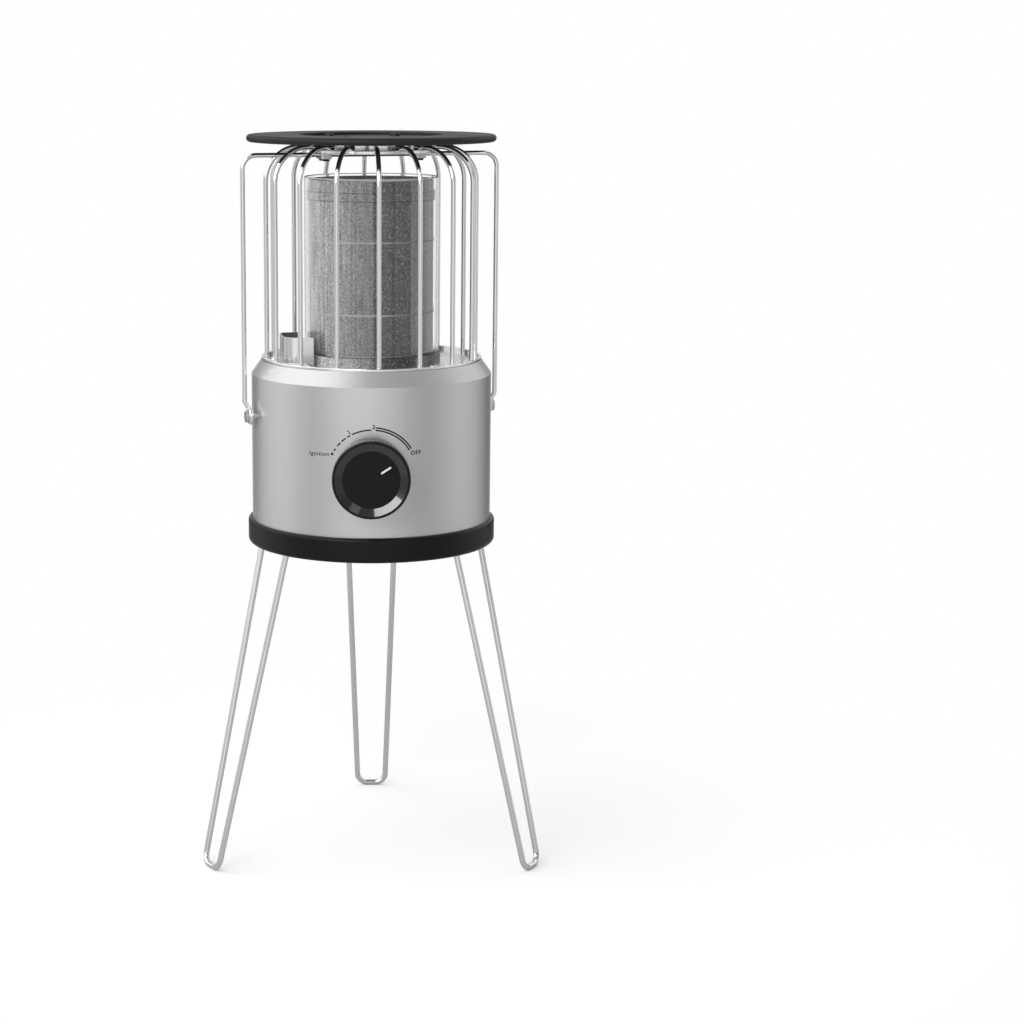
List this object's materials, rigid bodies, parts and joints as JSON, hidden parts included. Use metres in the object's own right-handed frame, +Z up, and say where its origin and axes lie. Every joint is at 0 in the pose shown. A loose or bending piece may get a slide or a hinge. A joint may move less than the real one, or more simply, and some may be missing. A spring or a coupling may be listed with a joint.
{
  "type": "portable propane heater",
  "caption": "Portable gas heater: glass-shielded mesh burner in a wire guard with a flat top plate, on a round drum body with a control knob and plug-in hairpin legs.",
  "frame": {"origin": "on the floor that the legs stand on, on the drum's vertical axis", "axes": "+Z up along the drum axis, -Y forwards to the control knob, +Y backwards to the gas inlet"},
  "size_m": [0.2538, 0.247, 0.5436],
  "materials": {
    "chrome_wire": "bright chrome-plated wire",
    "silver_paint": "satin silver paint",
    "black_moulding": "black moulding, fine satin",
    "knob_black": "black, glossy bevel",
    "knob_matt": "matt black disc",
    "white_inlay": "white",
    "cast_socket": "die cast",
    "zinc_sheet": "zinc-plated sheet",
    "fastener": "plated steel",
    "polished_sheet": "polished stainless sheet",
    "burner_sheet": "heat-resisting sheet",
    "burner_mesh": "knitted metal mesh",
    "clear_glass": "clear quartz glass",
    "brass": "machined",
    "aluminium_pipe": "drawn tube",
    "spring_steel": "ground",
    "white_ceramic": "unglazed",
    "switch_case": "moulded",
    "lead_sleeve": "silicone sleeve",
    "black_iron": "matt black heat-proof coating"
  },
  "bodies": {
    "drum": {"cage_wires": "chrome_wire", "hold_down_bail": "chrome_wire", "body_shell": "silver_paint", "base_tray": "black_moulding", "leg_socket_left": "cast_socket", "leg_socket_right": "cast_socket", "leg_socket_rear": "cast_socket", "chassis_plate": "zinc_sheet", "heat_shield": "zinc_sheet", "valve_bracket": "zinc_sheet", "base_screws": "fastener", "chassis_screws": "fastener", "deck_screws": "fastener", "valve_screws": "fastener", "guard_screws": "fastener", "stud_nuts": "fastener", "bail_studs": "fastener", "body_posts": "fastener", "deck_pan": "polished_sheet", "reflector": "polished_sheet", "igniter_shield": "polished_sheet", "glass_seat_ring": "polished_sheet", "guard_hub_ring": "polished_sheet", "bail_clips": "polished_sheet", "burner_cup": "burner_sheet", "mixing_tube": "burner_sheet", "inner_diffuser": "burner_sheet", "burner_cap": "burner_sheet", "mesh_band": "burner_sheet", "mesh_hoops": "burner_sheet", "mesh_emitter": "burner_mesh", "glass_chimney": "clear_glass", "injector": "brass", "injector_holder": "brass", "valve_body": "brass", "valve_bonnet": "brass", "gas_inlet_fitting": "brass", "inlet_nut": "brass", "inlet_pipe": "aluminium_pipe", "outlet_pipe": "aluminium_pipe", "stem_spring": "spring_steel", "thermocouple": "spring_steel", "electrode_tip": "spring_steel", "magnet_unit": "spring_steel", "spark_electrode": "white_ceramic", "piezo_igniter": "switch_case", "tilt_switch": "switch_case", "ignition_lead": "lead_sleeve", "thermocouple_lead": "lead_sleeve", "tilt_switch_lead": "lead_sleeve", "top_plate": "black_iron"},
    "plunger": {"push_pin": "brass"},
    "control_knob": {"knob": "knob_black", "knob_face": "knob_matt", "knob_pointer": "white_inlay", "valve_stem": "spring_steel"},
    "left_leg": {"leg_left": "chrome_wire"},
    "right_leg": {"leg_right": "chrome_wire"},
    "rear_leg": {"leg_rear": "chrome_wire"}
  },
  "joints": [
    {"name": "knob_push", "type": "slide", "parent": "drum", "child": "plunger", "axis": [0, 1, 0], "range_m": [0, 0.0035], "stiffness_N_per_m": 1200, "springref_m": -0.004, "deforming": ["stem_spring"]},
    {"name": "knob_turn", "type": "hinge", "parent": "plunger", "child": "control_knob", "pos_m": [0, -0.1, 0.3027], "axis": [0, -1, 0], "range_deg": [0, 118]},
    {"name": "left_leg_pull", "type": "slide", "parent": "drum", "child": "left_leg", "axis": [-0.197, -0.1137, -0.9738], "range_m": [0, 0.025]},
    {"name": "right_leg_pull", "type": "slide", "parent": "drum", "child": "right_leg", "axis": [0.197, -0.1137, -0.9738], "range_m": [0, 0.025]},
    {"name": "rear_leg_pull", "type": "slide", "parent": "drum", "child": "rear_leg", "axis": [0, 0.2275, -0.9738], "range_m": [0, 0.025]}
  ]
}
